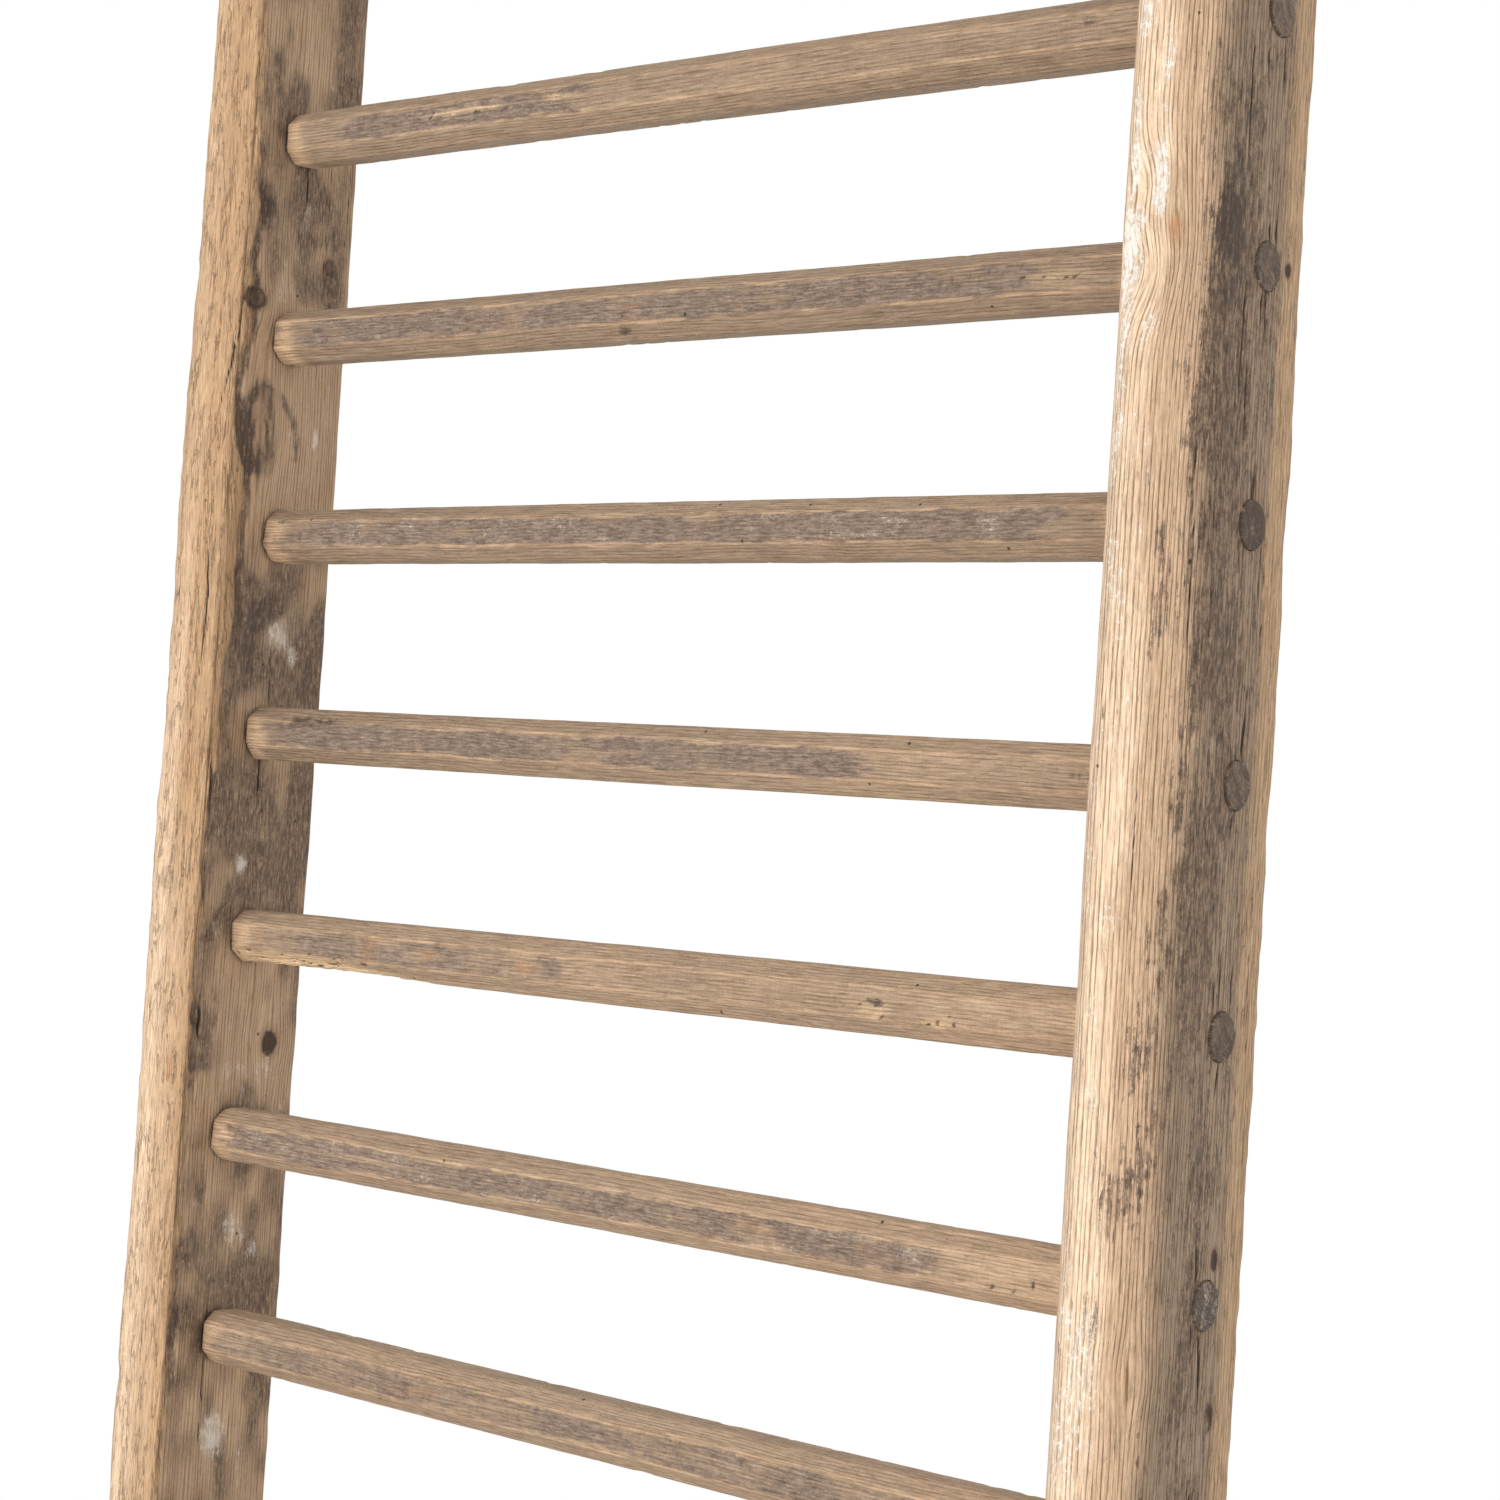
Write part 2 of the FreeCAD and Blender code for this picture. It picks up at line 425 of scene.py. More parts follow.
CORNER_GRIME = (  # how dirty the right pole's rounded corner is at each height
    (0, 0.5), (700, 0.3), (930, 0.35), (1000, 0.5), (1120, 0.7), (1200, 0.85), (1430, 0.95), (1520, 0.95),
    (1570, 0.5), (1700, 0.35), (1850, 0.7), (2400, 0.5),
)
INNER_GRIME = (  # how dirty the left pole's inner face is at each height
    (0, 0.5), (600, 0.3), (680, 0.4), (770, 0.55), (838, 0.5), (900, 0.3), (1010, 0.2), (1060, 0.5),
    (1150, 0.65), (1200, 0.45), (1262, 0.8), (1330, 0.5), (1385, -0.1), (1500, 0.0), (1545, 0.45),
    (1600, 0.55), (1640, 0.35), (1720, 0.3), (1900, 0.5), (2400, 0.4),
)
ARRIS = (  # the girth where the left pole's rough front breaks off above its inner face, at each height
    (0, -4), (1150, -4), (1185, -12), (1240, -10), (1300, -14), (1380, -14), (1405, -8), (1430, -2),
    (1462, 0), (1480, -6), (1500, -13), (1525, -14), (1550, -10), (1625, -7), (2400, -6),
)
# Stains and painted shade, as the oval-summing function below takes them.
INNER_SMEARS = (  # lime on the left pole's inner face
    (-60, 1276, 15, 20), (-76, 1262, 8, 14), (-58, 828, 16, 24), (-78, 812, 9, 10), (-52, 676, 18, 26),
    (-40, 1104, 9, 13), (-84, 1430, 4, 14),
)
# Those along girth -22 to -30 are painted shade under the left pole's arris; the others are dark stains.
INNER_SHADE_AND_STAINS = (  # dark places there
    (-24, 1000, 14, 52), (-24, 862, 14, 44), (-22, 1598, 13, 50), (-24, 1142, 12, 30), (-30, 1262, 24, 60),
    (-84, 1530, 9, 12), (-99, 1572, 9, 16), (-50, 1300, 30, 24), (-92, 1240, 16, 34), (-30, 760, 22, 44),
    (-90, 768, 16, 30), (-96, 985, 12, 26), (-70, 1580, 20, 30), (-22, 1700, 12, 40),
)
EDGE_SHADOWS = ((15, 952, 8, 36, 0.6), (5, 1010, 6, 34, 0.45), (14, 1100, 8, 34, 0.4))  # by its arris
LEFT_RUST = ((-61, 1114, 6, 7, 0.8), (20, 950, 8, 26, 0.8))
CORNER_BLOTCHES = (  # the darkest places on the right pole
    (90, 1510, 30, 56, 0.95), (96, 1580, 13, 66, 0.6), (70, 1520, 16, 20, 0.5), (72, 1474, 18, 26, 0.5),
    (106, 1290, 28, 60, 0.4), (100, 1400, 18, 50, 0.35), (100, 852, 28, 42, 0.5), (64, 872, 20, 20, 0.35),
    (126, 1215, 16, 26, 0.3), (56, 1000, 5, 9, 0.9), (50, 1022, 5, 14, 0.5), (58, 936, 4, 5, 0.9),
    (126, 1300, 14, 60, 0.3), (98, 1210, 16, 46, 0.35), (100, 1140, 14, 40, 0.25), (128, 1352, 22, 38, 0.35),
)
RIGHT_RUST = ((42, 1512, 14, 18, 0.75), (56, 866, 24, 26, 0.35))
FRONT_SMEARS = (  # thinner dirt on the right pole's front
    (52, 1045, 16, 40, 0.5), (40, 962, 22, 40, 0.55), (60, 975, 16, 44, 0.4), (26, 893, 16, 22, 0.4),
    (48, 1290, 9, 40, 0.6), (46, 1335, 8, 22, 0.6), (8, 868, 10, 12, 0.6), (12, 1496, 10, 16, 0.4),
)
LEFT_SPLITS = [  # half width, and the points that a split runs through, upwards
    (1.3, (-6, 1135), (-7, 1182)), (1.2, (-6, 1064), (-7, 1110)), (1.6, (-12, 975), (-11, 1000)),
    (1.6, (14, 1444), (17, 1450), (8, 1475), (2, 1520)), (1.5, (-52, 1152), (-51, 1187)),
    (1.5, (-59, 1600), (-58, 1632)), (1.5, (20, 1240), (16, 1300), (19, 1345)),
]
RIGHT_SPLITS = [
    (1.9, (132, 838), (131, 868), (126, 888)), (1.6, (108, 1420), (110, 1490)),
    (1.6, (104, 1556), (103, 1640)), (1.5, (118, 1390), (116, 1450)),
]


def rail_relief(girth, height, knots, rough, splits, wear):
    """How far the surface lies under the pole's plain form, and how much of that is open split. Wear lists
    where arrises are broken and rubbed off: girth, reach to either side, depth, length of the bites, seed."""
    vary = surface_noise(girth, height)
    depth = 0.55 * (1 + vary(70, 260, 10))
    depth += 0.22 * (1 + vary(9, 150, 11))
    depth += 0.10 * (1 + vary(3.2, 70, 12))
    fibre = np.abs(vary(5, 34, 13)) + 0.7 * np.abs(vary(3, 15, 14))
    depth += rough * 0.85 * fibre
    for at, up, radius, length, darkness in knots:
        near = np.hypot((girth - at) / radius, (height - up) / length)
        depth += 0.5 * np.exp(-((near - 1.0) / 0.55) ** 2) * darkness
    opened = np.zeros(girth.shape)
    for half_width, *path in splits:
        opened = np.maximum(opened, groove(girth, height, path, half_width) * half_width / 1.6)
    depth += 1.8 * opened
    for corner, reach, deepest, bite, seed in wear:
        gone = 0.45 + 0.75 * noise(height / bite, 0, seed) + 0.35 * noise(4 * height / bite, 0, seed + 1)
        depth += deepest * np.clip(gone, 0, 1.3) * np.exp(-(((girth - corner) / reach) ** 2))
    return depth, np.minimum(opened * 1.4, 1)


def stain_and_shade(girth, height, places, power=1.0):
    """Ovals summed, each 1 at its middle and 0 at its edge. A place is its girth, height, half width, half
    length and, where it isn't 1, its strength."""
    total = 0.0
    for at, up, half_width, half_length, *strength in places:
        total = total + math.prod(strength) * spot(girth - at, height - up, half_width, half_length) ** power
    return total


def left_rail_wood(rail, girth, height, knots):
    """The left pole: a rough-sawn front face, a ragged inner arris and a smooth dirty inner face, with
    painted shade under the arris and round the rungs' shoulders.
    """
    w, d = rail.width, rail.depth
    vary = surface_noise(girth, height)
    edge = np.interp(height, *zip(*ARRIS)) + 3.0 * noise(height / 44, 0, 31) + 3.2 * noise(height / 11, 0, 32)
    front = band(girth, edge, w - 8, 1.2) + 0.55 * band(girth, w - 8, w + 6, 6)
    front = np.clip(front, 0, 1)
    rough = front + 0.25 * band(girth, w + 6, w + d - 4, 6)
    splits = LEFT_SPLITS + tenon_splits(rail, 41) + drying_splits(rail, 42)
    wear = [(0, 6, 3.2, 30, 33), (-3, 4, 2.2, 11, 63), (w, 10, 1.6, 60, 34), (w - 4, 9, 0.9, 13, 49)]
    wear += [(w + d, 6, 1.8, 80, 35), (-d, 5, 1.2, 70, 36)]
    depth, opened = rail_relief(girth, height, knots, rough, splits, wear)
    # The band under the ragged arris is sunk as a groove, and the dark drawn from it below is painted shade
    # under the overhanging front.
    under = band(girth, edge - 8, edge - 1.0, 1.5) * rise(noise(height / 75, 0, 37), -0.4, 0.3)
    depth += 2.0 * under

    clean = linear(190, 155, 119)
    bleached = linear(226, 197, 166)
    aged = linear(187, 159, 130)
    outside = linear(160, 137, 112)
    pale = band(girth, 34, w - 6, 8) * (0.25 + 0.6 * (1 - rise(height, 1150, 1400)))
    pale = np.clip(pale + 0.3 * band(girth, 14, 34, 8) * (1 - rise(height, 1040, 1160)), 0, 1)[..., None]
    outer = band(girth, w + 4, w + d + 20, 6)
    base = aged * (1 - front - outer).clip(0)[..., None] + outside * outer[..., None]
    base += (clean + (bleached - clean) * pale) * front[..., None]
    inner = band(girth, -d, edge, 2)
    grime = np.interp(height, *zip(*INNER_GRIME))
    blotches = rise(vary(30, 60, 39) + 0.45 * vary(10, 18, 40), -0.3, 0.8)
    dirt = inner * (1.5 * grime + 0.75 * blotches - 0.3 + 0.5 * vary(15, 24, 67))
    dirt += 0.45 * band(girth, -111, -82, 5) * band(height, 1110, 1180, 12)
    dirt += outer * (0.35 + 0.4 * blotches)
    dirt += 0.30 * front * rise(vary(16, 70, 43), 0.3, 0.8)
    cloud = 0.75 + 0.6 * vary(12, 20, 45)
    lime = inner * 0.6 * rise(vary(20, 34, 44), 0.52, 0.95)
    lime += 1.35 * cloud * stain_and_shade(girth, height, INNER_SMEARS, 0.7)
    # Painted shade in the groove under the arris, then dark dirt where the inner face is grimy.
    dark = 0.6 * under + 0.35 * inner * grime * rise(vary(20, 30, 68), 0.0, 0.7)
    # Painted shade under the arris, and dark stains, from the table of them.
    dark += 0.62 * cloud * inner * stain_and_shade(girth, height, INNER_SHADE_AND_STAINS, 0.8)
    # Painted shade: a dark ring on the inner face round each rung's shoulder, where the rung meets the pole.
    bores = [(at, up, 1.6 * radius, 1.7 * radius) for at, up, radius in rail.bores("inner")]
    dark += 1.5 * stain_and_shade(girth, height, bores, 0.8)
    dark += stain_and_shade(girth, height, EDGE_SHADOWS) + ring_knot(girth, height)
    rust = stain_and_shade(girth, height, LEFT_RUST)
    rust += 0.35 * front * rise(vary(22, 130, 46), 0.2, 0.8)
    return depth, opened, rough, base, (dirt, lime, dark, rust)


RING_KNOT = (-28, 1429)


def ring_knot(girth, height):
    """How dark the left pole's one large knot is: rings within rings, drawn in broken fibres."""
    fibres = 0.875 + 0.45 * noise(girth / 3.5, height / 22, 48)
    across = girth - RING_KNOT[0] + 5 * noise(height / 17, 0, 50)
    along = height - RING_KNOT[1] + 4 * noise(girth / 9, 0, 51)
    dark = (0.62 + 0.45 * rise(across, -8, 8)) * arc(across, along, 15, 30, 9)
    dark += 0.55 * arc(across + 3, along + 4, 6, 14, 4)
    dark += 1.1 * spot(girth + 17, height - 1420, 6, 34) ** 0.7
    dark += 0.62 * arc(girth + 30, height - 1420, 35, 40, 9) * rise(-girth, 36, 50) * (height > 1405)
    return dark * fibres


def right_rail_wood(rail, girth, height, knots):
    """The right pole: limed straw-coloured front, dirty rounded corner, grey side, straw back edge."""
    w, d = rail.width, rail.depth
    vary = surface_noise(girth, height)
    rough = 0.15 + 0.35 * band(girth, w + 80, w + d + 4, 5)
    splits = RIGHT_SPLITS + tenon_splits(rail, 51) + drying_splits(rail, 52)
    wear = [(0, 7, 1.0, 90, 53), (w + d, 4, 1.6, 42, 54), (w + d - 2, 3, 1.0, 14, 64), (-d, 5, 1.2, 70, 55)]
    depth, opened = rail_relief(girth, height, knots, rough, splits, wear)

    place = girth + 7 * noise(height / 110, 0, 56) + 6 * noise(height / 34, girth / 30, 57)
    inner = band(girth, -d - 40, -2, 5)
    tones = (
        (linear(236, 209, 179), band(place, -2, 33, 10)),
        (linear(205, 174, 144), band(place, 33, 74, 13) + inner),
        (linear(160, 139, 117), band(place, 74, w + 84, 13)),
        (linear(192, 161, 128), band(girth, w + 86, w + d + 90, 6)),
    )
    total = sum(part for _, part in tones) + 1e-6
    base = sum((part / total)[..., None] * tone for tone, part in tones)
    # Painted shade: the rounded inner front corner, which faces the lamp, is made a fifth darker.
    base = base * (1 - 0.2 * band(girth, -4, 13, 5))[..., None]
    patches = vary(15, 55, 58) + 0.7 * vary(7, 22, 59)
    spread = rise(place, 44, 94) * (1 - rise(place, 106, 132))
    dirt = np.interp(height, *zip(*CORNER_GRIME)) * spread * (0.5 + 0.7 * rise(patches, -0.8, 0.7))
    dirt += (0.36 + 0.25 * rise(patches, 0.0, 0.8)) * band(girth, 108, w + 84, 9) + 0.25 * inner
    dirt += 0.15 * band(girth, w + 84, w + d, 6) * rise(patches, 0.0, 0.6)
    dirt += stain_and_shade(girth, height, FRONT_SMEARS, 0.7)
    patchy = rise(vary(10, 26, 60) + 0.6 * vary(4, 9, 65), -0.35, 0.55)
    lime = (0.45 + 0.5 * rise(height, 1280, 1420)) * band(girth, 2, 34, 8)
    lime += 0.75 * spot(girth - 24, height - 1530, 38, 46) ** 0.6
    lime += 0.2 * band(girth, -2, 50, 8) * band(height, 800, 905, 20)
    lime = lime * patchy + 0.6 * spot(girth - 9, height - 1490, 16, 30)
    ragged = 0.8 + 0.5 * vary(6, 14, 61)
    dark = 0.25 * band(place, 78, 106, 8) * rise(vary(10, 90, 66), 0.0, 0.6)
    dark += ragged * stain_and_shade(girth, height, CORNER_BLOTCHES)
    bores = [(at, up, 1.7 * radius, 2.4 * radius) for at, up, radius in rail.bores("outer")]
    dark += 0.28 * stain_and_shade(girth, height, bores)
    rust = stain_and_shade(girth, height, RIGHT_RUST)
    rust += 0.2 * band(girth, 25, 60, 8) * rise(vary(12, 120, 62), 0.0, 0.8)
    return depth, opened, rough, base, (dirt, lime, dark, rust)


END_DISHED = 0.8  # how far the middle of a pole's sawn end lies under its rim
FAR = 9.0  # radii from a knot, where there is none
RAIL_END = (172, 146, 117)
RAIL_END_MARKS = (0.45, 0.05, 0.1, 0.1)  # dirt, lime, dark, rust
RAIL_END_ROUGH = 0.5
RAIL_END_SEED = 9.0


def end_grain(x, y, seed):
    """Rings about the pith, as an end shows them: distance from it, and the angle round it."""
    ring = np.hypot(x, y) + 1.5 * noise(x / 18, y / 18, seed)
    return np.stack([ring, 40 * np.arctan2(y, x), np.full(len(x), seed)], axis=-1)


def build_rail(rail, wood, knots, pith, material):
    """A pole as one closed mesh: its long surface, both ends, and the walls of its bores."""
    stride = RAIL_COLUMNS + 1
    girth = np.tile(rail.girths(), (RAIL_ROWS + 1, 1))
    height = np.tile(np.linspace(0, rail.height, RAIL_ROWS + 1)[:, None], stride)
    solid = np.ones((RAIL_ROWS, RAIL_COLUMNS), bool)
    rims = {"outer": [], "inner": []}
    for face, way in (("outer", 1), ("inner", -1)):
        for bore in rail.bores(face):
            row, column = bend_round_bore(girth, height, bore)
            solid[row - BORE_ROWS:row + BORE_ROWS, column - BORE_COLUMNS:column + BORE_COLUMNS] = False
            rims[face].append([(row + j) * stride + column + way * i for i, j in rim_steps()])
    depth, opened, rough, base, marks = wood(rail, girth, height, knots)
    depth[:, -1] = depth[:, 0]
    points = rail.place(girth, height, depth).reshape(-1, 3)
    faces = [grid_faces(RAIL_ROWS + 1, stride)[solid.ravel()]]
    for outer, inner in zip(np.array(rims["outer"]), np.array(rims["inner"])):
        faces.append(np.stack([outer, np.roll(outer, -1), np.roll(inner, -1), inner], axis=-1))
    caps, cap_faces = close_ends(points, stride, np.array([0, 0, END_DISHED]))
    faces += cap_faces
    grain = bend_grain(girth, height, knots, SWEEPS[rail.node])
    grain = np.stack([grain, height, np.full(height.shape, 5.0 + rail.side)], axis=-1)
    pith_x = rail.side * (rail.inner + pith[0])
    pith_y = rail.back - rail.depth + pith[1]
    cap_grain = end_grain(caps[:, 0] - pith_x, caps[:, 1] - pith_y, RAIL_END_SEED)
    on_grid = (grain, nearest_knot(girth, height, knots), base, np.stack(marks, axis=-1), opened, rough)
    on_caps = (cap_grain, FAR, linear(*RAIL_END), RAIL_END_MARKS, 0.0, RAIL_END_ROUGH)
    points = np.concatenate([points, caps])
    make_piece(rail.node, points, faces, on_grid, on_caps, material)


# ---- the rungs


RUNG_TURNS = 64
FRONT_OFFSET = 20.0  # from a rung's axis to its front facet
TOP_OFFSET = 21.0
BEVEL_OFFSET = 21.57
FACE_OFFSETS = (FRONT_OFFSET, BEVEL_OFFSET, TOP_OFFSET, BEVEL_OFFSET) * 2  # of all eight, from the front up
TENON_RADII = (16.3, 14.65)  # at the rail's inner face and at the end
ARRIS_WEAR = 44
CUT_CRISPNESS = 70
SIDE_GAP = 379.0  # from the rack's middle plane to a rail's inner face
RUNG_PITH = (34, 20)  # behind and above a rung's axis
RUNG_END = (134, 114, 97)
RUNG_END_DIRT = 0.15
RUNG_END_ROUGH = 0.3
RUNG_ROUGH = 0.2


def end_stations(gap):
    """Distances from a rung's end where its mesh has a ring, to past the shoulder, which starts at gap."""
    return np.concatenate([[0.0, 0.5, 1.2, 2.5], np.linspace(6, gap - 1, 9), gap + np.linspace(0, 34, 32)])


def within(turn, faces, sharpness):
    """The radius of a form bounded by flat faces (way, offset); sharpness says how crisp its arrises are."""
    total = 0.0
    for way, offset in faces:
        total = total + (np.cos(turn - way).clip(0) / offset) ** sharpness
    return total ** (-1 / sharpness)


def shoulder_cuts(rng, distance):
    """The knife cuts that shave a shoulder, one on each face: the way it faces, and how far from the axis."""
    cuts = []
    for side in range(len(FACE_OFFSETS)):
        way = side * math.pi / 4 + rng.uniform(-0.13, 0.13)
        spare = rng.uniform(2.2, 3.4) if side % 2 else rng.uniform(0.6, 1.3)
        slope = rng.uniform(0.35, 1.0)
        cuts.append((way, TENON_RADII[0] + spare + slope * np.maximum(distance, 0)))
    return cuts


def rung_form(number, along, turn, gap_start, gap_end):
    """A rung's radius: the least of its hewn octagon, the shoulders' knife cuts and, in a rail, its tenon."""
    rng = np.random.default_rng(100 + number)
    length = gap_start + gap_end  # as if both tenons were equally long
    tenon = np.interp(along, (0, gap_start, gap_end, length), TENON_RADII[::-1] + TENON_RADII)
    stout = 0.962 + 0.036 * along / length
    faces = []
    for side, offset in enumerate(FACE_OFFSETS):
        way = side * math.pi / 4 + rng.uniform(-0.06, 0.06)
        hewn = offset * stout - 0.6 * (1 + noise(along / 150, side, number)) * rng.uniform(0.3, 1.0)
        faces.append((way, hewn - 0.15 * (1 + noise(along / 34, side, number + 50))))
    bar = within(turn, faces, ARRIS_WEAR)
    for distance in (along - gap_start, gap_end - along):
        bar = np.minimum(bar, within(turn, shoulder_cuts(rng, distance), CUT_CRISPNESS))
    inside = (along < gap_start) | (along > gap_end)
    return np.where(inside, tenon, bar)


def build_rung(node, material):
    """A rung as one closed mesh: hewn bar, shaved shoulders, and round tenons with their end grain."""
    number = int(node.split("_")[1])
    film, tones, tenon_marks = RUNG_LOOKS.get(number, OTHER_LOOK)
    left, right = AXES[node]
    length = float(np.linalg.norm(right - left))
    run = (right - left) / length
    gap_start = (-SIDE_GAP - left[0]) / run[0]
    gap_end = (SIDE_GAP - left[0]) / run[0]
    middle = np.linspace(gap_start + 36, gap_end - 36, 222)
    far = length - end_stations(length - gap_end)[::-1]
    stations = np.concatenate([end_stations(gap_start), middle, far])
    stride = RUNG_TURNS + 1
    along = np.tile(stations[:, None], stride)
    turn = np.tile(np.linspace(-math.pi, math.pi, stride), (len(stations), 1))
    relief, opened, base, marks = rung_wood(number, film, tones, along, turn, gap_start, gap_end)
    inside = (along < gap_start) | (along > gap_end)
    radius = rung_form(number, along, turn, gap_start, gap_end) - np.where(inside, 0, relief)
    radius -= 1.1 * (1 - rise(np.minimum(along, length - along), -0.6, 1.6)) ** 2
    radius[:, -1] = radius[:, 0]
    back = np.array([0.0, 1.0, 0.0]) - run * run[1]
    back /= np.linalg.norm(back)
    outwards = np.sin(turn)[..., None] * np.cross(run, back) - np.cos(turn)[..., None] * back
    points = (left + along[..., None] * run + radius[..., None] * outwards).reshape(-1, 3)
    caps, cap_faces = close_ends(points, stride, np.zeros(3))
    girth = turn * FRONT_OFFSET + 2.0 * noise(along / 90, 0, number + 20)
    seed = 20.0 + number
    grain = np.stack([girth, along, np.full(along.shape, seed)], axis=-1)
    no_knot = np.full((*along.shape, 3), FAR)
    cap_grain = end_grain(*(caps[:, 1:] - left[1:] - RUNG_PITH).T, seed)
    on_grid = (grain, no_knot, base, np.stack(marks, axis=-1), opened, np.full(along.shape, RUNG_ROUGH))
    on_caps = (cap_grain, FAR, linear(*RUNG_END), (RUNG_END_DIRT, *tenon_marks, 0), 0.0, RUNG_END_ROUGH)
    faces = [grid_faces(len(stations), stride), *cap_faces]
    make_piece(node, np.concatenate([points, caps]), faces, on_grid, on_caps, material)


RUNG_LOOKS = {  # film on the front: start, end, thickness, chalk; how pale at each end; tenons' lime and dark
    11: ((70, 300, 1.1, 0.3), (1, 1), (0.2, 0.45)),
    10: ((38, 672, 1.2, 0.3), (0.92, 0.98), (0.2, 0.62)),
    9: ((46, 705, 1.2, 0.4), (0.92, 1.02), (0.1, 0.95)),
    8: ((26, 570, 1.1, 0.2), (0.92, 1.2), (0.2, 0.55)),
    7: ((24, 330, 0.7, 0.1), (1.05, 1.3), (0.1, 0.6)),
    6: ((22, 660, 1.0, 0.4), (1.1, 1.35), (0.6, 0.8)),
    5: ((30, 640, 0.75, 0.2), (1.15, 1.3), (0.2, 0.6)),
}
OTHER_LOOK = ((40, 620, 0.8, 0.4), (1.05, 1.2), (0.2, 0.6))
WORMY = linear(235, 203, 162)
# The darkness of rung 8's sunk hollow near its left end is painted shade.
RUNG_MARKS = (  # rung, from the left pole, way it faces, half length, half width, sunk, darkness, paleness
    (8, 68, 0.62, 48, 7, 2.6, 0.8, 0), (8, 728, 0, 26, 14, 0.3, 0.4, 0),
    (7, 68, -0.86, 105, 11, 1.2, 0, 1), (7, 92, -1.38, 135, 15, 4.0, 0, 1),
    (7, 455, -0.1, 12, 5, 0.1, 0.5, 0), (7, 520, -0.1, 10, 5, 0.1, 0.5, 0),
    (7, 400, -0.1, 12, 5, 0.1, 0.5, 0), (7, 590, -0.2, 16, 8, 0.3, 0, 0.7),
    (7, 640, -0.4, 14, 7, 0.3, 0, 0.7), (11, 700, 0.15, 14, 9, 0.2, 0.7, 0),
    (11, 190, 0.1, 60, 4, 0.4, 0, 0.9), (11, 275, 0.15, 28, 3, 0.3, 0, 0.8),
    (10, 48, 0.15, 24, 5, 0.3, 0.6, 0), (10, 620, 0, 50, 12, 0.1, 0.5, 0),
    (10, 345, -0.80, 9, 5, 0.6, 1, 0), (10, 560, -0.85, 22, 5, 0.2, 0.5, 0),
    (9, 22, 0.5, 20, 5, 0.2, 0.5, 0), (6, 700, 0, 40, 12, 0.1, 0, 0.3),
    (10, 690, 0, 40, 8, 0.2, 0, 0.3),
)


def rung_wood(number, film, tones, along, turn, gap_start, gap_end):
    """A rung's fine relief and colours: worn dirt on its front face, pale cuts at its shoulders, and painted
    shade where they meet the poles.
    """
    girth = turn * FRONT_OFFSET
    vary = surface_noise(girth, along, number)
    relief = 0.16 * (1 + vary(3.0, 45, 30))
    relief += 0.12 * (1 + vary(6.0, 12, 31))
    pits = rise(vary(5, 9, 32), 0.55, 0.8)
    relief += 0.5 * pits
    distance = np.minimum(along - gap_start, gap_end - along)
    start, end, strength, chalk = film
    edge = 0.47 + 0.08 * noise(along / 40, 0, number + 33) + 0.06 * noise(along / 9, 0, number + 34)
    front = 1 - rise(np.abs(turn), edge - 0.08, edge + 0.08)
    ragged = 22 * noise(turn * 4, 0, number + 35) + 12 * noise(turn * 8, along / 14, number + 36)
    filmed = front * band(along - gap_start + ragged, start, end, 14)
    bare = rise(vary(8, 45, 37), 0.4, 0.8)
    dirt = strength * filmed * (1 - 0.8 * bare) * (0.85 + 0.35 * vary(12, 30, 49))
    dirt += 0.35 * (1 - filmed) * rise(vary(9, 70, 44), 0.0, 0.8)
    arris = band(np.abs(turn), edge - 0.02, edge + 0.09, 0.05)
    worn = np.exp(-(((np.abs(turn) - 0.49) / 0.05) ** 2))
    worn += 0.7 * np.exp(-(((np.abs(turn) - 1.12) / 0.05) ** 2))
    worn *= rise(noise(along / 24, turn * 2, number + 47) + 0.5 * noise(along / 7, 0, number + 48), -0.2, 0.5)
    fresh = (1 - rise(distance + 8 * noise(girth / 8, 0, number + 41), 10, 26)) * (distance > 0)
    fresh = fresh * (1 - 0.9 * rise(turn, 0.35, 0.9))
    clean = linear(174, 147, 120)
    mid = linear(148, 127, 106)
    pale = linear(206, 174, 140)
    shade = 0.5 + 0.5 * noise(along / 130, girth / 40, number + 45)
    base = mid + (clean - mid) * np.clip(0.6 * arris + 0.5 * shade, 0, 1)[..., None]
    base = base * np.interp(along, (gap_start, gap_end), tones)[..., None]
    base += (pale - base) * np.clip(0.8 * fresh + 0.55 * worn, 0, 1)[..., None]
    dirt = dirt * (1 - 0.6 * worn)
    chalked = vary(7, 24, 38) + 0.6 * vary(3, 8, 46)
    lime = chalk * filmed * rise(chalked, -0.1, 0.9)
    dark = 0.3 * filmed * rise(vary(8, 50, 39), 0.1, 0.7)
    # Painted shade: a dark line where the shoulder meets the pole, and the tenon dark inside its bore.
    dark += 0.8 * (np.abs(distance) < 1.2) + 0.8 * (distance < -4)
    rust = 0.6 * filmed * rise(vary(10, 30, 40), 0.15, 0.8) + 0.1 * arris
    for rung, place, way, half_length, half_width, sunk, gloom, paleness in RUNG_MARKS:
        if rung == number:
            mark = spot((turn - way) * TOP_OFFSET, along - gap_start - place, half_width, half_length) ** 0.6
            ragged = mark * (0.8 + 0.5 * vary(3, 8, 42))
            # Worm holes where a mark is pale: sunk a little, and painted dark for the shade in them.
            holes = rise(vary(2.5, 4, 43), 0.45, 0.7) * (paleness * mark > 0.1)
            relief += sunk * ragged + 1.1 * holes
            dark += gloom * ragged + 0.9 * holes
            dirt = dirt * (1 - paleness * mark)
            base += (WORMY - base) * np.clip(paleness * ragged, 0, 1)[..., None]
    return relief, 0.35 * pits, base, (dirt, lime, dark, rust)


# ---- materials


